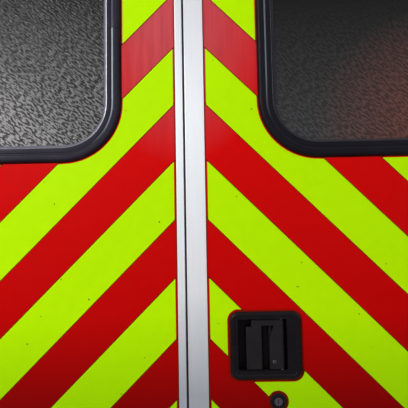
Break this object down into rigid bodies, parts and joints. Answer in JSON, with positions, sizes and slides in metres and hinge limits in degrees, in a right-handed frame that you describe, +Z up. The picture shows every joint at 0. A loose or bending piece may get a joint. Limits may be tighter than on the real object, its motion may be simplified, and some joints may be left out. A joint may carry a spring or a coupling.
{
  "type": "ambulance rear door pair in its door frame",
  "caption": "Pair of side-hung rear doors for a box-bodied ambulance, in an aluminium frame, with chevron film, windows and a recessed handle.",
  "frame": {"origin": "middle of the doorway on the sill's bottom face, level with the back of the side flanges", "axes": "+X to the right leaf as seen from outside, +Y into the vehicle, +Z up"},
  "size_m": [1.46, 0.133, 1.91],
  "materials": {
    "satin_aluminium": "satin, clear anodised",
    "white_panel": "smooth gloss white",
    "red_film": "glossy reflective film",
    "yellow_film": "glossy fluorescent yellow-green film",
    "privacy_glass": "patterned privacy glass",
    "rubber": "smooth black extruded rubber",
    "rubber_filler": "smooth, slightly shinier than the rubber",
    "grey_trim": "matt grey",
    "yellow_paint": "gloss powder coat",
    "black_fittings": "satin black",
    "steel": "brushed",
    "lock_metal": "worn dark metal"
  },
  "bodies": {
    "frame": {"posts": "satin_aluminium", "header": "satin_aluminium", "sill": "satin_aluminium", "frame_seal": "rubber", "frame_hinges": "steel", "hinge_pins": "steel", "drip_gutter": "satin_aluminium", "tread_plate": "steel", "bolt_keeps": "steel"},
    "left_door": {"left_panel": "white_panel", "left_red_film": "red_film", "left_yellow_film": "yellow_film", "left_meeting_stile": "satin_aluminium", "left_hinge_stile": "satin_aluminium", "left_rails": "satin_aluminium", "left_window_glass": "privacy_glass", "left_window_rubber": "rubber", "left_rubber_filler": "rubber_filler", "left_meeting_seal": "rubber", "left_liner": "white_panel", "left_window_trim": "grey_trim", "left_grab_handle": "yellow_paint", "left_bolt_guides": "black_fittings", "left_bolts": "steel", "left_bolt_lever": "black_fittings", "left_hinge_plates": "steel"},
    "right_door": {"right_panel": "white_panel", "right_red_film": "red_film", "right_yellow_film": "yellow_film", "right_meeting_stile": "satin_aluminium", "right_hinge_stile": "satin_aluminium", "right_rails": "satin_aluminium", "right_window_glass": "privacy_glass", "right_window_rubber": "rubber", "right_rubber_filler": "rubber_filler", "right_meeting_seal": "rubber", "right_liner": "white_panel", "right_window_trim": "grey_trim", "right_grab_handle": "yellow_paint", "right_bolt_guides": "black_fittings", "right_bolts": "steel", "right_bolt_lever": "black_fittings", "right_hinge_plates": "steel", "handle_bezel": "black_fittings", "handle_paddle": "black_fittings", "handle_pin": "steel", "lock_ring": "black_fittings", "lock_barrel": "lock_metal"}
  },
  "joints": [
    {"name": "left_door_swing", "type": "hinge", "parent": "frame", "child": "left_door", "pos_m": [-0.643, -0.018, 0.94], "axis": [0, 0, -1], "range_deg": [0, 180]},
    {"name": "right_door_swing", "type": "hinge", "parent": "frame", "child": "right_door", "pos_m": [0.643, -0.018, 0.94], "axis": [0, 0, 1], "range_deg": [0, 180]}
  ]
}
